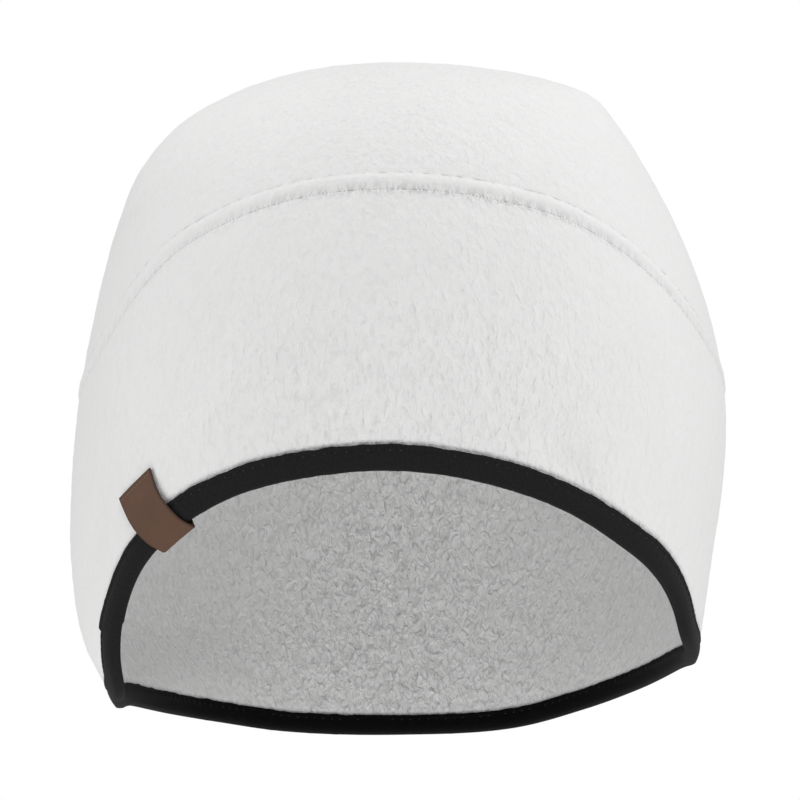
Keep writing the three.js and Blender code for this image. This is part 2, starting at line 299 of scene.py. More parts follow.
def bare(turn, reach):
    """Points of the smooth outer skin, before its folds."""
    s = np.sin(np.radians(turn))
    c = np.cos(np.radians(turn))
    left, right = profile("left", reach), profile("right", reach)
    front, back = profile("front", reach), profile("back", reach)
    side = (left + right) / 2 + (right - left) / 2 * s * (1.5 - 0.5 * s * s)
    face = (back + front) / 2 + (front - back) / 2 * c * (1.5 - 0.5 * c * c)
    square = profile("square", reach)
    x = side * s * (1 + square * c * c)
    y = -face * c * (1 + square * s * s)
    return np.stack(np.broadcast_arrays(x, y, profile("height", reach)), axis=-1)


def unit(vectors):
    """The same vectors at length one."""
    return vectors / np.linalg.norm(vectors, axis=-1, keepdims=True)


def outward(turn, reach):
    """The outward normals of the smooth skin."""
    down = np.maximum(reach, 2 * NUDGE)
    along = bare(turn + NUDGE, down) - bare(turn - NUDGE, down)
    fall = bare(turn, down + NUDGE) - bare(turn, down - NUDGE)
    return unit(np.cross(fall, along))


def skin(turn, reach, lift):
    """Points of the cloth: on the outer skin, lifted off it or sunk into it."""
    points = bare(turn, reach)
    push = fold_at(turn, points[..., 2]) + lift
    return points + outward(turn, reach) * push[..., None]


def beside(line, turn, up, along=0.0):
    """The places a short way from a line round the hat, measured square to it and along it."""
    reach = line(turn)
    run = unit(bare(turn + NUDGE, line(turn + NUDGE)) - bare(turn - NUDGE, line(turn - NUDGE)))
    rise = np.cross(outward(turn, reach), run)
    by_turn = (bare(turn + NUDGE, reach) - bare(turn - NUDGE, reach)) / (2 * NUDGE)
    by_reach = (bare(turn, reach + NUDGE) - bare(turn, reach - NUDGE)) / (2 * NUDGE)
    want = rise * np.asarray(up)[..., None] + run * np.asarray(along)[..., None]
    a = (by_turn * by_turn).sum(-1)
    b = (by_turn * by_reach).sum(-1)
    d = (by_reach * by_reach).sum(-1)
    p = (want * by_turn).sum(-1)
    q = (want * by_reach).sum(-1)
    area = a * d - b * b
    return turn + (p * d - q * b) / area, reach + (q * a - p * b) / area


def even_turns(line, count):
    """Turns spaced evenly along a line round the hat, and the line's length."""
    fine = np.linspace(0, 360, 720 * TURN_STEPS + 1)
    points = bare(fine, line(fine))
    lengths = np.concatenate([[0], np.cumsum(np.linalg.norm(np.diff(points, axis=0), axis=1))])
    return np.interp(np.linspace(0, lengths[-1], count, endpoint=False), lengths, fine), lengths[-1]


def rounded_step(x, low, high):
    """Nought below low, one above high, and a smooth rise between."""
    t = np.clip((x - low) / (high - low), 0, 1)
    return t * t * (3 - 2 * t)


def nap_and_grain_shade_at(points, inside):
    """How high the pile stands, and how strong its painted pit shade and painted tip highlight are: most
    inside and low on the middle of the brow, and little on the crown and the sides.
    """
    low = rounded_step(-points[..., 2], 50, 90)
    middle = np.exp(-((points[..., 0] / 50) ** 2)) * rounded_step(-points[..., 1], -10, 40)
    outside = 0.035 + middle * (0.08 + 0.17 * low)
    lining = 0.22 + 0.4 * np.exp(-((points[..., 0] / 46) ** 2))
    return np.where(inside, lining, outside)


def seam_shade_strength(points):
    """How strongly shade is painted along the seam and above the tape: most over the brow, and little at the
    sides.
    """
    return 0.2 + 0.7 * np.exp(-((points[..., 0] - 12) / 52) ** 2) * rounded_step(-points[..., 1], 0, 50)


def cloth_mesh(name, rings, closes, masks, length_round):
    """A closed body from rings of points. It closes on itself, or with a single point at each end."""
    count = rings.shape[1]
    rows = rings.shape[0]
    verts = rings.reshape(-1, 3)
    i = np.arange(count)
    j = (i + 1) % count
    faces = []
    for r in range(rows if closes == "ring" else rows - 1):
        n = (r + 1) % rows
        faces.append(np.stack([r * count + i, n * count + i, n * count + j, r * count + j], axis=1))
    quads = np.concatenate(faces)
    caps = []
    if closes != "ring":
        ends = np.stack([rings[0].mean(axis=0), rings[-1].mean(axis=0)])
        verts = np.concatenate([verts, ends])
        caps = [(rows * count, int(a), int(b)) for a, b in zip(i, j)]
        last = (rows - 1) * count
        caps += [(last + int(b), last + int(a), rows * count + 1) for a, b in zip(i, j)]
    mesh = bpy.data.meshes.new(name)
    mesh.from_pydata((verts * MILLIMETRE).tolist(), [], quads.tolist() + caps)
    for mask, values in masks.items():
        flat = np.zeros(len(verts))
        flat[: rows * count] = values.reshape(-1)
        mesh.attributes.new(mask, "FLOAT", "POINT").data.foreach_set("value", flat.astype(np.float32))
    runs = np.concatenate([[0], np.cumsum(np.linalg.norm(np.diff(rings, axis=0), axis=2).mean(axis=1))])
    uv = mesh.uv_layers.new(name="UVMap")
    loop_verts = np.empty(len(mesh.loops), np.int32)
    mesh.loops.foreach_get("vertex_index", loop_verts)
    row = np.minimum(loop_verts // count, rows - 1)
    column = np.where(loop_verts < rows * count, loop_verts % count, 0).astype(float)
    quad_loops = len(quads) * 4
    corner = np.arange(quad_loops) % 4
    wrapped = (column[:quad_loops] == 0) & (corner >= 2)
    column[:quad_loops] = np.where(wrapped, count, column[:quad_loops])
    v = runs[row]
    ring_wrap = (row[:quad_loops] == 0) & ((corner == 1) | (corner == 2)) & (closes == "ring")
    close_run = runs[-1] + np.linalg.norm(rings[0] - rings[-1], axis=1).mean()
    v[:quad_loops] = np.where(ring_wrap, close_run, v[:quad_loops])
    coords = np.stack([column / count * length_round, v], axis=1) * MILLIMETRE
    uv.data.foreach_set("uv", coords.astype(np.float32).reshape(-1))
    mesh.shade_smooth()
    piece = bpy.data.objects.new(name, mesh)
    scene.collection.objects.link(piece)
    return piece


def finished_copy(piece):
    """The piece as a plain mesh with its modifier's result in it, in the same place with the same name."""
    graph = bpy.context.evaluated_depsgraph_get()
    mesh = bpy.data.meshes.new_from_object(piece.evaluated_get(graph))
    piece.modifiers.clear()
    piece.data = mesh
    mesh.name = piece.name
    return piece


def add_tree(piece, tree, **values):
    """Puts a node tree on a piece as a modifier and sets its named inputs by their identifiers."""
    modifier = piece.modifiers.new(tree.name, "NODES")
    modifier.node_group = tree
    for item in tree.interface.items_tree:
        if item.item_type == "SOCKET" and item.in_out == "INPUT" and item.name in values:
            modifier[item.identifier] = values[item.name]


def reckon(tree, operation, *values):
    """The result of a maths node on values and other nodes' outputs."""
    return add_node(tree, "ShaderNodeMath", dict(enumerate(values)), operation=operation).outputs["Value"]


def noise(tree, place, size, detail, **inputs):
    """The result of a noise node at a place: how fine, how detailed, and any further inputs."""
    inputs = {"Vector": place, "Scale": size, "Detail": detail, **inputs}
    return add_node(tree, "ShaderNodeTexNoise", inputs).outputs["Fac"]


def spread(tree, value, low, high, to_low=0.0, to_high=1.0, **options):
    """A value stretched from one range to another."""
    inputs = {"Value": value, "From Min": low, "From Max": high, "To Min": to_low, "To Max": to_high}
    return add_node(tree, "ShaderNodeMapRange", inputs, **options).outputs["Result"]


def mask_on(tree, name):
    """The value of a mask that the mesh carries."""
    return add_node(tree, "ShaderNodeAttribute", attribute_name=name).outputs["Fac"]


def mix(tree, kind, share, low, high, **options):
    """A mix of two numbers or two colours, which are values or other nodes' outputs."""
    inputs = {"Factor": share, "A": low, "B": high}
    return add_node(tree, "ShaderNodeMix", inputs, data_type=kind, **options).outputs["Result"]


def raise_grain(tree, shader, height, strength, distance):
    """Lets the shader see fine relief."""
    grain = add_node(tree, "ShaderNodeBump", {"Strength": strength, "Distance": distance, "Height": height})
    tree.links.new(grain.outputs["Normal"], shader.inputs["Normal"])


def fleece_cloth():
    """White brushed fleece: fine curls in small clumps, raised by bump, with painted shade in the pits
    between them and a painted highlight on their tips, as strong as the mesh's mask says.

    Along the seam, at the topstitches and above the tape, painted shade darkens it, with painted dark upright
    strokes for the shadows between the fibres drawn together there.
    """
    material, tree, shader = new_material("white_fleece", {
        "Roughness": 1.0, "Specular IOR Level": 0.1, "Sheen Weight": 0.08, "Sheen Roughness": 0.6,
    })
    place = add_node(tree, "ShaderNodeTexCoord").outputs["Object"]
    brushed = add_node(tree, "ShaderNodeMapping", {"Vector": place, "Scale": (1, 1, 0.52)}).outputs["Vector"]
    curls = noise(tree, brushed, 720, 2.2, Roughness=0.5, Distortion=0.6)
    clumps = noise(tree, brushed, 260, 1, Distortion=0.6)
    pile = mix(tree, "FLOAT", 0.3, curls, clumps)
    # Painted shade darkens the pits between the clumps, and a painted highlight lightens the tips.
    pits = spread(tree, pile, 0.47, 0.36, interpolation_type="SMOOTHSTEP")
    tips = spread(tree, pile, 0.5, 0.64)
    nap_and_grain_shade = mask_on(tree, "nap_and_grain_shade")
    painted_pit_shade = reckon(tree, "MULTIPLY", pits, nap_and_grain_shade)
    painted_tip_highlight = reckon(tree, "MULTIPLY", tips, nap_and_grain_shade)
    ground = mix(tree, "RGBA", painted_pit_shade, (0.815, 0.815, 0.815, 1), (0.62, 0.62, 0.62, 1))
    lit = mix(tree, "RGBA", painted_tip_highlight, ground, (0.93, 0.93, 0.93, 1))
    drift = spread(tree, noise(tree, place, 22, 2), 0.3, 0.7, 0.985, 1.01)
    # Painted shade: a little darker along the seam, at the topstitches and above the tape, with dark upright
    # strokes painted for the shadows between the fibres.
    pressed_and_painted_shade = mask_on(tree, "pressed_and_painted_shade")
    drift_and_painted_shade = reckon(tree, "MULTIPLY_ADD", pressed_and_painted_shade, -0.03, drift)
    upright = add_node(tree, "ShaderNodeMapping", {"Vector": place, "Scale": (1, 1, 0.32)}).outputs["Vector"]
    fibres = noise(tree, upright, 900, 1, Distortion=0.5)
    clefts = spread(tree, fibres, 0.55, 0.43, interpolation_type="SMOOTHSTEP")
    painted_cleft_shade = reckon(tree, "MULTIPLY", clefts, pressed_and_painted_shade)
    tone_and_painted_shade = reckon(tree, "MULTIPLY_ADD", painted_cleft_shade, -0.22, drift_and_painted_shade)
    shade = mix(tree, "RGBA", 1.0, lit, tone_and_painted_shade, blend_type="MULTIPLY")
    tree.links.new(shade, shader.inputs["Base Color"])
    raised = reckon(tree, "POWER", nap_and_grain_shade, 0.75)
    relief = reckon(tree, "MULTIPLY", pile, raised)
    raise_grain(tree, shader, relief, 1.0, 0.0034)
    return material


def new_tree(name, geometry, inputs, result):
    """A new geometry tree: the tree, its start and its end. An input without a value is a material."""
    tree = bpy.data.node_groups.new(name, "GeometryNodeTree")
    face = tree.interface
    face.new_socket(name=geometry, in_out="INPUT", socket_type="NodeSocketGeometry")
    kinds = {float: "NodeSocketFloat", int: "NodeSocketInt", type(None): "NodeSocketMaterial"}
    for label, value in inputs.items():
        socket = face.new_socket(name=label, in_out="INPUT", socket_type=kinds[type(value)])
        if value is not None:
            socket.default_value = value
    face.new_socket(name=result, in_out="OUTPUT", socket_type="NodeSocketGeometry")
    return tree, add_node(tree, "NodeGroupInput"), add_node(tree, "NodeGroupOutput")


def brushed_pile_tree(material):
    """Raises the cloth's surface in small soft clumps, as brushing does, as far as the loft mask lets it."""
    sizes = {"Clump size": 0.003, "Clump height": 0.0003, "Seed": 3.0}
    tree, start, end = new_tree("brushed_pile", "Cloth", sizes, "Cloth")
    place = add_node(tree, "GeometryNodeInputPosition").outputs[0]
    normal = add_node(tree, "GeometryNodeInputNormal").outputs[0]
    loft = add_node(tree, "GeometryNodeInputNamedAttribute", {"Name": "loft"}, data_type="FLOAT")
    clumps = add_node(tree, "ShaderNodeTexNoise", {
        "Vector": place, "W": start.outputs["Seed"], "Detail": 1.5,
        "Scale": reckon(tree, "DIVIDE", 1.0, start.outputs["Clump size"]),
    }, noise_dimensions="4D")
    centred = reckon(tree, "SUBTRACT", clumps.outputs["Fac"], 0.5)
    height = reckon(tree, "MULTIPLY", centred, start.outputs["Clump height"])
    masked = reckon(tree, "MULTIPLY", height, loft.outputs["Attribute"])
    push = add_node(tree, "ShaderNodeVectorMath", {0: normal, "Scale": masked}, operation="SCALE")
    move = add_node(tree, "GeometryNodeSetPosition",
                    {"Geometry": start.outputs["Cloth"], "Offset": push.outputs[0]})
    whole = add_node(tree, "GeometryNodeRealizeInstances", {0: move.outputs[0]})
    dye = add_node(tree, "GeometryNodeSetMaterial", {"Geometry": whole.outputs[0], "Material": material})
    set_inputs(tree, end, {0: dye.outputs[0]})
    return tree


white_fleece = fleece_cloth()
brushed_pile = brushed_pile_tree(white_fleece)

# How far above the seam each ring near it runs, and how far it lies off the skin: over the ridge, down to the
# seam's lip and through the wall.
crown_turns = np.linspace(0, 360, CROWN_COLUMNS, endpoint=False)
seam_rows = [
    (DOME_EDGE, 0.0), (8.0, 0.0), (7.0, 0.0), (6.2, 0.02), (5.6, 0.0), (5.25, -0.02), (5.0, -0.05),
    (4.75, -0.01), (4.5, 0.06), (3.9, 0.3), (3.3, RIDGE - 0.12), (2.7, RIDGE - 0.1), (2.2, RIDGE - 0.15),
    (1.7, 0.34), (1.25, 0.18), (0.85, 0.04), (0.5, -0.07), (0.22, -0.15), (SEAM_GAP / 2, -0.22),
    (SEAM_GAP / 2, -1.9), (SEAM_GAP / 2, -FLEECE + 0.3), (0.4, -FLEECE + 0.05), (0.8, -FLEECE),
]
dome_shares = np.linspace(0.012, 0.99, DOME_ROWS)

# Shade is painted in dashes at the topstitches, some darker than others, and in a soft band all along the
# seam, where the pile is also flattened.
STITCH_SHADE = 0.9
STITCH_SHADE_REACH = 0.3
SEAM_SHADE_REACH = 1.3
LOFT_FROM = 0.1
LOFT_TO = 1.4
seam_points = bare(crown_turns, seam_line(crown_turns))
stitch_run = np.cumsum(np.linalg.norm(np.diff(seam_points, axis=0, prepend=0), axis=1))
stitch_beat = np.sin(2 * math.pi * stitch_run / TOPSTITCH_PITCH)
dashes = rounded_step(stitch_beat + 0.6 * np.sin(stitch_run / 5.3), -0.2, 0.8)
rings = []
pressed_and_painted_shade = []
loft = []


def dome_ring(share, lift):
    """A ring of the dome, at a share of the way from the top to the rings near the seam."""
    edge_turn, edge_reach = beside(seam_line, crown_turns, DOME_EDGE)
    return skin(crown_turns + (edge_turn - crown_turns) * share, edge_reach * share, lift)


for share in dome_shares:
    rings.append(dome_ring(share, 0.0))
    pressed_and_painted_shade.append(0.0 * dashes)
    loft.append(1.0)
# These rings carry painted shade in dashes at the topstitches and in a soft band along the seam.
for up, lift in seam_rows:
    place_turn, place_reach = beside(seam_line, crown_turns, np.full(CROWN_COLUMNS, up))
    rings.append(skin(place_turn, place_reach, np.full(CROWN_COLUMNS, lift)))
    stitch_dash_shade = STITCH_SHADE * math.exp(-((up - ALLOWANCE) / STITCH_SHADE_REACH) ** 2) * dashes
    pressed_and_painted_shade.append(stitch_dash_shade + math.exp(-((up - 0.2) / SEAM_SHADE_REACH) ** 2))
    loft.append(float(rounded_step(up, LOFT_FROM, LOFT_TO)))
for share in np.linspace(0.97, 0.03, DOME_LINING_ROWS):
    rings.append(dome_ring(share, -FLEECE))
    pressed_and_painted_shade.append(0.0 * dashes)
    loft.append(1.0)
crown_rings = np.array(rings)
crown_inside = np.arange(len(crown_rings)) >= len(dome_shares) + len(seam_rows)
crown_painted_shade = np.array(pressed_and_painted_shade) * seam_shade_strength(crown_rings)
# The first mask sets the bump of the pile and how strong its painted pit shade and tip highlight are; the
# second is where shade is painted along the seam and at the topstitches.
crown_masks = {
    "nap_and_grain_shade": np.maximum(nap_and_grain_shade_at(crown_rings, crown_inside[:, None]), SEAM_NAP_AND_SHADE * crown_painted_shade),
    "pressed_and_painted_shade": crown_painted_shade,
    "loft": np.repeat(loft, CROWN_COLUMNS),
}
crown_fleece = cloth_mesh("crown_fleece", crown_rings, "points", crown_masks, CROWN_ROUND)
add_tree(crown_fleece, brushed_pile, **{"Clump size": 0.0032, "Clump height": 0.0005, "Seed": 3.0})
finished_copy(crown_fleece)
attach(crown_fleece, "root")
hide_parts("crown")

# The band: one deep strip of the same fleece that goes round the head. It rises over the brow and comes down
# over the ears and the nape, and its lower edge is pressed flat inside the tape. The tape's wall, how far its
# legs reach up outside and inside, and the room between two sewn pieces are set here, because both need them.
BOUND = 1.3
TAPE = 0.75
TAPE_OUT = 6.7
TAPE_IN = 5.9
SLACK = 0.3
BAND_FOOT = TAPE_OUT + 1.6
BAND_HEAD = -2.2
HEM_PRESS = 8.2
BAND_ROWS = 64
BAND_LINING_ROWS = 36
BAND_COLUMNS = 760
pressed_in = (FLEECE - BOUND) / 2
band_turns, hem_length = even_turns(hem_line, BAND_COLUMNS)
full = np.ones(BAND_COLUMNS)


def band_ring(share, lift):
    """A ring of the band, at a share of the way from just above the tape to just below the seam."""
    low_turn, low_reach = beside(hem_line, band_turns, full * BAND_FOOT)
    high_turn, high_reach = beside(seam_line, band_turns, full * BAND_HEAD)
    turn = low_turn + (high_turn - low_turn) * share
    return skin(turn, low_reach + (high_reach - low_reach) * share, lift)


rings = []
pressed_and_painted_shade = []
loft = []

# Near the seam: how far below it, and how far off the skin.
lip_rows = [
    (SEAM_GAP / 2, -FLEECE + 0.3), (SEAM_GAP / 2, -1.9), (SEAM_GAP / 2, -0.3), (0.22, -0.2), (0.5, -0.12),
    (0.85, -0.05), (1.25, 0.0), (1.7, 0.02),
]
# These rings carry painted shade in a soft band along the seam.
for down, lift in lip_rows:
    place_turn, place_reach = beside(seam_line, band_turns, full * -down)
    rings.append(skin(place_turn, place_reach, full * lift))
    pressed_and_painted_shade.append(math.exp(-((down - 0.1) / SEAM_SHADE_REACH) ** 2))
    loft.append(float(rounded_step(down, LOFT_FROM, LOFT_TO)))
for share in np.linspace(1, 0, BAND_ROWS):
    rings.append(band_ring(share, 0.0))
    pressed_and_painted_shade.append(0.0)
    loft.append(1.0)

# Near the hem: how far above its fold, and how far off the skin. The wall narrows into the tape, turns round
# inside it and widens again on the inside.
hem_rows = [
    (7.9, -0.05), (7.5, -0.18), (7.1, -0.42), (TAPE_OUT, -pressed_in), (4.6, -pressed_in),
    (2.6, -pressed_in), (TAPE + SLACK, -pressed_in), (TAPE + SLACK, -FLEECE / 2),
    (TAPE + SLACK, pressed_in - FLEECE), (3.4, pressed_in - FLEECE), (TAPE_IN, pressed_in - FLEECE),
    (6.4, -FLEECE + 0.35), (6.9, -FLEECE + 0.12), (7.5, -FLEECE),
]
# Just above the tape the pile is flattened and shade is painted there as well.
for up, lift in hem_rows:
    place_turn, place_reach = beside(hem_line, band_turns, full * up)
    rings.append(skin(place_turn, place_reach, full * lift))
    pressed_and_painted_shade.append(float(rounded_step(HEM_PRESS - up, 0, 1.4)))
    loft.append(1.0 - pressed_and_painted_shade[-1])
for share in np.linspace(0, 0.985, BAND_LINING_ROWS):
    rings.append(band_ring(share, -FLEECE))
    pressed_and_painted_shade.append(0.0)
    loft.append(1.0)

# The last four of the rows near the hem are inside too.
band_rings = np.array(rings)
band_inside = np.arange(len(band_rings)) >= len(band_rings) - BAND_LINING_ROWS - 4
band_painted_shade = np.array(pressed_and_painted_shade)[:, None] * seam_shade_strength(band_rings)
# The first mask sets the bump of the pile and how strong its painted pit shade and tip highlight are; the
# second is where shade is painted along the seam and above the tape.
band_masks = {
    "nap_and_grain_shade": np.maximum(nap_and_grain_shade_at(band_rings, band_inside[:, None]), SEAM_NAP_AND_SHADE * band_painted_shade),
    "pressed_and_painted_shade": band_painted_shade,
    "loft": np.repeat(loft, BAND_COLUMNS),
}
band_fleece = cloth_mesh("band_fleece", band_rings, "ring", band_masks, hem_length)
add_tree(band_fleece, brushed_pile, **{"Clump size": 0.0028, "Clump height": 0.0006, "Seed": 8.0})
finished_copy(band_fleece)
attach(band_fleece, "root")
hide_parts("band")

# The hem tape: a black knitted strip folded over the cut edge of the band and sewn through both of its legs
# with one row of stitches, with a lapped joint in front of the wearer's right ear.
TAPE_COLUMNS = 1100
STITCH_PITCH = 2.7
STITCH_DEPTH = 1.5
PUCKER = 0.12
UNEVEN = 0.2

# The lap: where it is, how far it slants for each millimetre up, how soon its step fades, how far the upper
# end stands out past the edge, and how far it lifts the tape.
LAP_TURN = 360 - 53.4
LAP_SLANT = 1.05
LAP_FADE = 8.0
LAP_STEP = 0.7
LAP_LIFT = 0.35

# The middle of the band's wall, and how far from it the tape's two faces lie.
MIDDLE = -FLEECE / 2
TAPE_INNER = BOUND / 2 + SLACK
TAPE_OUTER = TAPE_INNER + TAPE + 0.15
tape_turns, hem_length = even_turns(hem_line, TAPE_COLUMNS)
tape_run = np.arange(TAPE_COLUMNS) / TAPE_COLUMNS * hem_length
stitch_count = round(hem_length / STITCH_PITCH)
stitch_wave = 0.5 + 0.5 * np.cos(2 * math.pi * tape_run * stitch_count / hem_length)

# The end of the tape that lies on top is cut on the slant and ends at the lap with a small step. The tape's
# cut edges are a little uneven.
past_lap = tape_run - np.interp(LAP_TURN, tape_turns, tape_run)
rough = np.random.default_rng(7).normal(size=TAPE_COLUMNS)
uneven = sum(np.roll(rough, step) for step in (-2, -1, 0, 1, 2)) / 5


def tape_leg(width):
    """One leg from its cut edge to the fold: how far up and out, how much it puckers, how near the edge."""
    row = width - STITCH_DEPTH
    edge = TAPE_INNER + TAPE * 0.7
    return [
        (width - 0.1, TAPE_INNER, 0.0, 1.0), (width + 0.02, TAPE_INNER + 0.22, 0.0, 1.0),
        (width - 0.02, edge - 0.1, 0.1, 1.0), (width - 0.2, edge + 0.02, 0.3, 0.9),
        (width - 0.55, TAPE_INNER + TAPE, 0.5, 0.6), (row + 0.35, TAPE_INNER + TAPE * 0.9, 0.9, 0.3),
        (row, TAPE_INNER + TAPE * 0.76, 1.0, 0.1), (row - 0.35, TAPE_INNER + TAPE * 0.9, 0.9, 0.0),
        (row - 0.8, TAPE_OUTER - 0.05, 0.6, 0.0), (width * 0.5, TAPE_OUTER + 0.03, 0.3, 0.0),
        (width * 0.36, TAPE_OUTER, 0.1, 0.0), (width * 0.24, TAPE_OUTER - 0.12, 0.0, 0.0),
        (TAPE * 0.8, TAPE_INNER + TAPE * 0.72, 0.0, 0.0), (TAPE * 0.35, TAPE_INNER + TAPE * 0.2, 0.0, 0.0),
        (0.05, TAPE_INNER * 0.62, 0.0, 0.0),
    ]


def tape_row(up, away, pucker, edge, side):
    """One row of the tape's surface, on the outer leg or the inner one."""
    past = past_lap + LAP_SLANT * up
    lap = np.where(past >= 0, np.exp(-((past / LAP_FADE) ** 2)), 0)
    rise = up + edge * (UNEVEN * uneven + LAP_STEP * lap)
    lift = MIDDLE + side * (away - pucker * PUCKER * stitch_wave + LAP_LIFT * lap)
    place_turn, place_reach = beside(hem_line, tape_turns, rise)
    return skin(place_turn, place_reach, lift)


outer_leg = tape_leg(TAPE_OUT)
inner_leg = tape_leg(TAPE_IN)
rings = [tape_row(*row, 1) for row in outer_leg]
rings.append(tape_row(-0.06, 0.0, 0.0, -0.5, 0))
rings += [tape_row(*row, -1) for row in reversed(inner_leg)]
rings.append(tape_row(TAPE, TAPE_INNER, 0.0, 0.0, -1))
rings.append(tape_row(TAPE, TAPE_INNER, 0.0, 0.0, 1))
tape_rings = np.array(rings)
row_number = np.arange(len(tape_rings))
inner_side = rounded_step(row_number, len(outer_leg) - 1, len(outer_leg) + 5)
tape_masks = {"inside": np.repeat(inner_side, TAPE_COLUMNS)}


def two_tones(tree, share, low, high):
    """A colour between two tones, for a noise that swings about its middle."""
    ramp = add_node(tree, "ShaderNodeValToRGB", {"Fac": share})
    for stop, position, colour in zip(ramp.color_ramp.elements, (0.3, 0.7), (low, high)):
        stop.position = position
        stop.color = (*colour, 1)
    return ramp.outputs["Color"]


def knitted_tape():
    """Matt black knitted tape: a fine even knit with a faint soft bloom, and painted shade that makes its
    inside a darker black.
    """
    material, tree, shader = new_material("black_tape", {
        "Roughness": 0.9, "Specular IOR Level": 0.12, "Sheen Weight": 0.03, "Sheen Roughness": 0.4,
    })
    lay = add_node(tree, "ShaderNodeUVMap", uv_map="UVMap").outputs["UV"]
    ribs = add_node(tree, "ShaderNodeTexWave", {
        "Vector": lay, "Scale": 330, "Distortion": 6.0, "Detail": 2, "Detail Scale": 2.0,
    }, wave_type="BANDS", bands_direction="X")
    loops = noise(tree, lay, 1300, 3)
    knit = mix(tree, "FLOAT", 0.85, ribs.outputs["Fac"], loops)
    tone = two_tones(tree, knit, (0.0095, 0.0095, 0.0095), (0.0145, 0.0145, 0.015))
    # Painted shade: the inner leg is made a darker black.
    painted_inside_shade = mix(tree, "RGBA", mask_on(tree, "inside"), tone, (0.0015, 0.0015, 0.0015, 1))
    tree.links.new(painted_inside_shade, shader.inputs["Base Color"])
    raise_grain(tree, shader, knit, 0.4, 0.0001)
    return material


black_tape = knitted_tape()
hem_tape = cloth_mesh("hem_tape", tape_rings, "ring", tape_masks, hem_length)
hem_tape.data.materials.append(black_tape)
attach(hem_tape, "root")
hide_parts("hem_binding")

# The stitches: a row of topstitching above the crown's seam, and one row in the tape on each side of the hem,
# in spun thread, white on the fleece and black on the tape. Nap caught in the seam fills it with short tufts
# across it, which are laid in the same way as stitches.


def stitch_tree():
    """Lays short stitches at even steps along a path, each turned to it and set on the cloth."""
    tree, start, end = new_tree("stitches", "Path", {
        "Pitch": 0.0024, "Length": 0.0017, "Thickness": 0.0004, "Turn": 0.0, "Unevenness": 0.15,
        "Shortest": 0.6, "Hidden": 0.2, "Seed": 1, "Thread": None,
    }, "Stitches")
    given = start.outputs
    curve = add_node(tree, "GeometryNodeMeshToCurve", {0: given["Path"]})
    steps = add_node(tree, "GeometryNodeResampleCurve",
                     {"Curve": curve.outputs[0], "Length": given["Pitch"]}, mode="LENGTH")
    along = add_node(tree, "GeometryNodeInputTangent").outputs[0]
    out = add_node(tree, "GeometryNodeInputNamedAttribute", {"Name": "outward"}, data_type="FLOAT_VECTOR")
    lie = add_node(tree, "FunctionNodeAlignEulerToVector", {"Vector": along}, axis="X")
    stand = add_node(tree, "FunctionNodeAlignEulerToVector",
                     {"Rotation": lie.outputs[0], "Vector": out.outputs["Attribute"]},
                     axis="Z", pivot_axis="X")

    # Each stitch is turned a little off its row, and is a little shorter than the longest.
    least = reckon(tree, "MULTIPLY", given["Unevenness"], -1.0)
    wobble = add_node(tree, "FunctionNodeRandomValue",
                      {"Seed": given["Seed"], 2: least, 3: given["Unevenness"]}, data_type="FLOAT")
    turn = reckon(tree, "ADD", wobble.outputs[1], given["Turn"])
    spin = add_node(tree, "ShaderNodeCombineXYZ", {"Z": turn})
    face_way = add_node(tree, "FunctionNodeRotateRotation",
                        {"Rotation": stand.outputs[0], "Rotate By": spin.outputs[0]}, rotation_space="LOCAL")
    share = add_node(tree, "FunctionNodeRandomValue",
                     {"Seed": given["Seed"], 2: given["Shortest"], 3: 1.0}, data_type="FLOAT")
    long = reckon(tree, "MULTIPLY", given["Length"], share.outputs[1])
    size = add_node(tree, "ShaderNodeCombineXYZ",
                    {"X": long, "Y": given["Thickness"], "Z": given["Thickness"]})

    # Some stitches are sunk out of sight.
    chance = add_node(tree, "FunctionNodeRandomValue", {"Seed": 31}, data_type="FLOAT")
    shows = reckon(tree, "GREATER_THAN", chance.outputs[1], given["Hidden"])
    thread = add_node(tree, "GeometryNodeMeshUVSphere", {"Segments": 8, "Rings": 5, "Radius": 0.5})
    lay = add_node(tree, "GeometryNodeInstanceOnPoints", {
        "Points": steps.outputs[0], "Selection": shows, "Instance": thread.outputs["Mesh"],
        "Rotation": face_way.outputs[0], "Scale": size.outputs[0],
    })
    whole = add_node(tree, "GeometryNodeRealizeInstances", {0: lay.outputs[0]})
    dye = add_node(tree, "GeometryNodeSetMaterial",
                   {"Geometry": whole.outputs[0], "Material": given["Thread"]})
    set_inputs(tree, end, {0: dye.outputs[0]})
    return tree


def spun_thread(name, colour, gloss):
    """Sewing thread, lighter and darker where its strands twist together."""
    material, tree, shader = new_material(name, {"Roughness": gloss})
    twist = noise(tree, add_node(tree, "ShaderNodeTexCoord").outputs["Object"], 2600, 1)
    tree.links.new(two_tones(tree, twist, [c * 0.8 for c in colour], colour), shader.inputs["Base Color"])
    return material


PATH_POINTS = 1500
stitches = stitch_tree()
white_thread = spun_thread("white_thread", (0.8, 0.8, 0.8), 0.8)
black_thread = spun_thread("black_thread", (0.024, 0.024, 0.025), 0.8)


def sew(name, points, normals, closed, slot, thread, **sizes):
    """Stitches along a path of points on the cloth, given with the directions that face out of it."""
    count = len(points)
    mesh = bpy.data.meshes.new(name)
    pairs = [(i, (i + 1) % count) for i in range(count if closed else count - 1)]
    mesh.from_pydata((points * MILLIMETRE).tolist(), pairs, [])
    way = mesh.attributes.new("outward", "FLOAT_VECTOR", "POINT")
    way.data.foreach_set("vector", normals.astype(np.float32).reshape(-1))
    piece = bpy.data.objects.new(name, mesh)
    scene.collection.objects.link(piece)
    add_tree(piece, stitches, Thread=thread, **sizes)
    finished_copy(piece)
    piece.data.shade_smooth()
    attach(piece, "root")


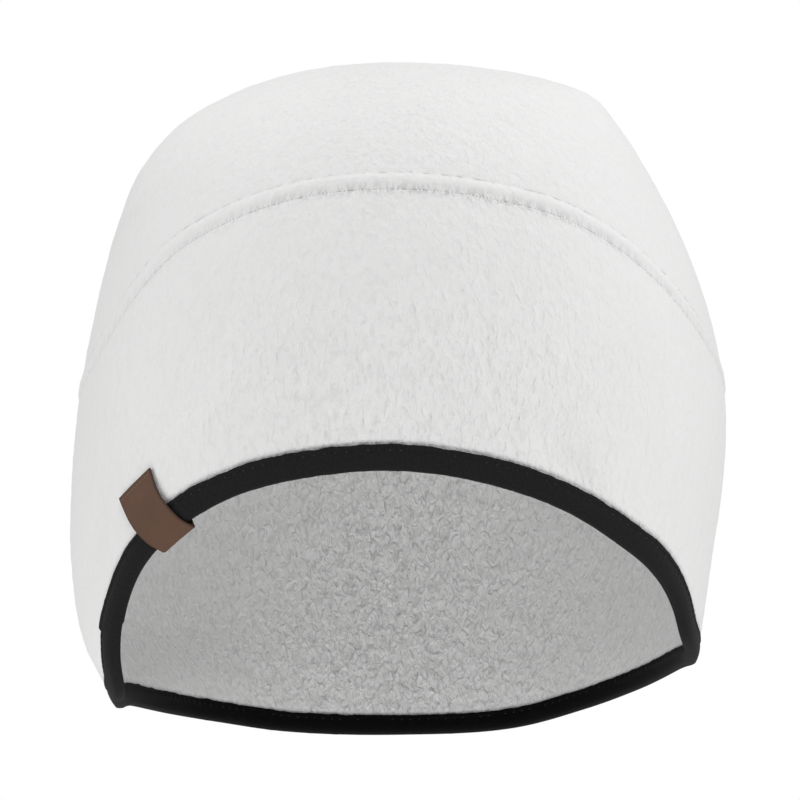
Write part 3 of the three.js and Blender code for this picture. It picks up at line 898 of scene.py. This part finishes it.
def sewn_round(name, line, up, lift, slot, thread, **sizes):
    """A row of stitches beside a line round the hat."""
    turns, _ = even_turns(line, PATH_POINTS)
    place_turn, place_reach = beside(line, turns, np.full(len(turns), up))
    points = skin(place_turn, place_reach, np.full(len(turns), lift))
    sew(name, points, outward(place_turn, place_reach), True, slot, thread, **sizes)


sewn_round("topstitching", seam_line, ALLOWANCE, -0.08, "fleece", white_thread,
           Pitch=TOPSTITCH_PITCH * MILLIMETRE, Length=0.0034, Thickness=0.0003, Turn=0.0, Unevenness=0.06,
           Shortest=0.5, Hidden=0.3, Seed=2)
sewn_round("seam_nap", seam_line, 0.0, -0.47, "fleece", white_fleece,
           Pitch=0.0009, Length=0.0018, Thickness=0.0007, Turn=math.pi / 2, Unevenness=0.5, Shortest=0.4,
           Hidden=0.2, Seed=5)
stitch_lift = TAPE_INNER + TAPE * 0.62
for name, leg, lift, seed in (
    ("tape_stitches_outside", TAPE_OUT, MIDDLE + stitch_lift, 4),
    ("tape_stitches_inside", TAPE_IN, MIDDLE - stitch_lift, 6),
):
    sewn_round(name, hem_line, leg - STITCH_DEPTH, lift, "tape", black_thread,
               Pitch=STITCH_PITCH * MILLIMETRE, Length=0.001, Thickness=0.00036, Turn=0.0, Unevenness=0.5,
               Shortest=0.5, Hidden=0.3, Seed=seed)

# The leather tab: one strip of brown leather folded over the tape at the wearer's right temple and sewn on
# with the tape. Its leaves lie against the cloth outside and inside.
TAB_TURN = -37.3
TAB_WIDTH = 13.6
TAB_LEAF = 17.4
TAB_HANG = 2.6
TAB_THICK = 0.6
TAB_LEAN = 12.0
TAB_BOW = 0.9
TAB_CREASE = 0.9
TAB_NECK = 0.92
TAB_FLARE = 0.18
TAB_EDGE = 0.3
STITCH_IN = 1.2
STITCH_SIDE = 0.9
STITCH_POINTS = 40

# Up the strip from the hem, and away from the middle of the band's wall: clear of the tape low down and lying
# on the cloth higher up, then round the fold, where it is pinched.
clear = TAPE_OUTER + SLACK
flat = -MIDDLE + SLACK
fold_top = TAPE_OUT * 0.3
leaf_table = [
    (TAB_LEAF, flat + 0.1), (TAB_LEAF * 0.8, flat + 0.2), (TAB_LEAF * 0.6, flat + 0.4),
    (BAND_FOOT, clear - 0.05), (TAPE_OUT, clear + 0.05), (TAPE_OUT * 0.6, clear + 0.1),
    (fold_top, clear),
]
fold_depth = fold_top + TAB_HANG - TAB_THICK
ups = np.linspace(TAB_LEAF, fold_top, 34)
table_ups = np.array([up for up, _ in reversed(leaf_table)])
table_away = np.array([away for _, away in reversed(leaf_table)])
leaf = np.stack([ups, curve_through(table_ups, table_away, ups)], axis=1)
angles = np.linspace(0, math.pi, 22)[1:-1]
narrow = 1 - TAB_CREASE * np.sin(angles) ** 2
fold = np.stack([fold_top - fold_depth * np.sin(angles), clear * np.cos(angles) * narrow], axis=1)
strip = np.concatenate([leaf, fold, leaf[::-1] * np.array([1, -1])])
run = np.gradient(strip, axis=0)
run = run / np.linalg.norm(run, axis=1, keepdims=True)

# The strip's cross-section: across its width and through its thickness, with rounded edges.
half = TAB_WIDTH / 2
thin = TAB_THICK / 2
outline = [(x, 0.0) for x in np.linspace(half - TAB_EDGE, -half + TAB_EDGE, 22)]
for a in np.linspace(0, math.pi, 9)[1:-1]:
    outline.append((-half + TAB_EDGE - TAB_EDGE * math.sin(a), thin - thin * math.cos(a)))
outline += [(x, TAB_THICK) for x in np.linspace(-half + TAB_EDGE, half - TAB_EDGE, 22)]
for a in np.linspace(0, math.pi, 9)[1:-1]:
    outline.append((half - TAB_EDGE + TAB_EDGE * math.sin(a), thin + thin * math.cos(a)))
outline = np.array(outline)


def tab_lean(up):
    """How far the strip has leant and bowed to one side, at a height above the hem."""
    return up * math.tan(math.radians(TAB_LEAN)) + TAB_BOW * math.sin(math.pi * up / TAB_LEAF)


def tab_ring(k):
    """One section of the leather strip, which widens a little towards its free ends."""
    across = outline[:, 0] * (TAB_NECK + TAB_FLARE * max(0.0, strip[k, 0] / TAB_LEAF))
    through = outline[:, 1]
    up = strip[k, 0] + run[k, 1] * through
    lift = MIDDLE + strip[k, 1] - run[k, 0] * through
    turn = np.full(len(outline), TAB_TURN)
    place_turn, place_reach = beside(hem_line, turn, up, across - tab_lean(strip[k, 0]))
    return skin(place_turn, place_reach, lift)


tab_rings = np.array([tab_ring(k) for k in range(len(strip))])
edge_across = rounded_step(np.abs(outline[:, 0]), half - 0.5, half - 0.1)
edge_along = rounded_step(strip[:, 0], TAB_LEAF - 0.6, TAB_LEAF - 0.1)
tab_masks = {"edge": np.maximum(edge_across[None, :], edge_along[:, None])}


def brown_leather():
    """Smooth brown leather: soft patches of tone, fine grain, and edges that are darker."""
    material, tree, shader = new_material("brown_leather", {"Roughness": 0.62, "Specular IOR Level": 0.15})
    place = add_node(tree, "ShaderNodeTexCoord").outputs["Object"]
    grain = add_node(tree, "ShaderNodeTexVoronoi", {"Vector": place, "Scale": 2600}).outputs["Distance"]
    tone = two_tones(tree, noise(tree, place, 130, 3), (0.106, 0.058, 0.038), (0.126, 0.066, 0.043))
    edge = reckon(tree, "MULTIPLY", mask_on(tree, "edge"), 0.8)
    darkened = mix(tree, "RGBA", edge, tone, (0.045, 0.026, 0.018, 1))
    tree.links.new(darkened, shader.inputs["Base Color"])
    raise_grain(tree, shader, grain, 0.3, 0.0001)
    return material


brown_thread = spun_thread("brown_thread", (0.24, 0.165, 0.13), 0.7)
row_up = TAB_LEAF - STITCH_IN
row_away = float(np.interp(row_up, leaf[::-1, 0], leaf[::-1, 1])) + TAB_THICK
across_tab = np.linspace(-half + STITCH_SIDE, half - STITCH_SIDE, STITCH_POINTS)
here = np.full(STITCH_POINTS, 1.0)
tab_turn, tab_reach = beside(hem_line, here * TAB_TURN, here * row_up, across_tab - tab_lean(row_up))
row_points = skin(tab_turn, tab_reach, here * (MIDDLE + row_away - 0.02))
sew("tab_stitches", row_points, outward(tab_turn, tab_reach), False, "leather", brown_thread,
    Pitch=0.0011, Length=0.0009, Thickness=0.00018, Turn=0.0, Unevenness=0.1, Shortest=0.8, Hidden=0.0,
    Seed=9)
leather_strip = cloth_mesh("leather_strip", tab_rings, "points", tab_masks, TAB_WIDTH * 2)
leather_strip.data.materials.append(brown_leather())
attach(leather_strip, "root")
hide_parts("leather_tab")
